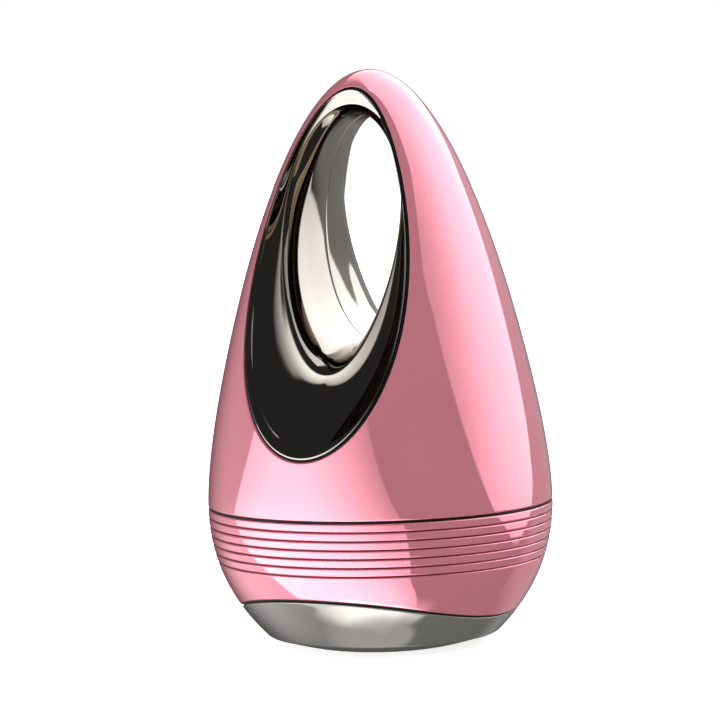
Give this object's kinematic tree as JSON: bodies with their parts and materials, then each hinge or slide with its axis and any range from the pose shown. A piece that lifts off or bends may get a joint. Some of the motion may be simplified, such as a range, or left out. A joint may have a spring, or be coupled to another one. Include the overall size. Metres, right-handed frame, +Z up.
{
  "type": "microcurrent facial device",
  "caption": "Egg-shaped handheld microcurrent facial device with a chrome-lined finger loop, a grooved lower shell and a metal treatment plate under its base.",
  "frame": {"origin": "middle of the flat face that the device stands on", "axes": "+Z up through the egg; the front of the finger loop faces -Y, the power button and charging port face +Y"},
  "size_m": [0.065, 0.065, 0.108],
  "materials": {
    "pink_shell": "high gloss",
    "black_rubber": "matt",
    "dark_chrome": "polished",
    "satin_plate": "satin",
    "button_chrome": "polished",
    "light_ring": "frosted",
    "pink_rubber": "satin",
    "frame_plastic": "matt",
    "battery_foil": "satin",
    "foam": "matt",
    "lead_sleeve": "satin",
    "board": "satin",
    "screw_steel": "plated",
    "chip_plastic": "matt",
    "copper": "satin",
    "capacitor_can": "satin",
    "gold_contact": "plated",
    "switch_cap": "satin"
  },
  "bodies": {
    "housing": {"upper_shell": "pink_shell", "lower_shell": "pink_shell", "seam_gasket": "black_rubber", "front_liner": "dark_chrome", "rear_liner": "dark_chrome", "front_liner_gasket": "black_rubber", "rear_liner_gasket": "black_rubber", "treatment_plate": "satin_plate", "plate_gasket": "black_rubber", "indicator_ring": "light_ring", "mid_frame": "frame_plastic", "battery_tray": "frame_plastic", "battery": "battery_foil", "battery_pads": "foam", "battery_leads": "lead_sleeve", "main_board": "board", "charging_port": "screw_steel", "control_chips": "chip_plastic", "boost_coil": "chip_plastic", "output_transformer": "copper", "capacitors": "capacitor_can", "buzzer": "chip_plastic", "plate_contact_pins": "gold_contact", "liner_contacts": "copper", "button_board": "board", "switch_body": "chip_plastic", "indicator_leds": "light_ring", "flat_cable": "copper", "shell_screws": "screw_steel", "tray_screws": "screw_steel", "button_board_screws": "screw_steel"},
    "button": {"power_button": "button_chrome"},
    "plunger": {"switch_plunger": "switch_cap"},
    "cover": {"port_cover": "pink_rubber"}
  },
  "joints": [
    {"name": "button_press", "type": "slide", "parent": "housing", "child": "button", "axis": [0, -1, 0], "range_m": [0, 0.0005], "stiffness_N_per_m": 1500},
    {"name": "switch_travel", "type": "slide", "parent": "housing", "child": "plunger", "axis": [0, -1, 0], "range_m": [0, 0.0005]},
    {"name": "cover_hinge", "type": "hinge", "parent": "housing", "child": "cover", "pos_m": [0, 0.03007, 0.0166], "axis": [-1, 0, 0], "range_deg": [0, 90], "stiffness_Nm_per_rad": 0.0005}
  ],
  "couplings": [
    {"joint": "switch_travel", "follows": "button_press", "ratio": 1}
  ]
}
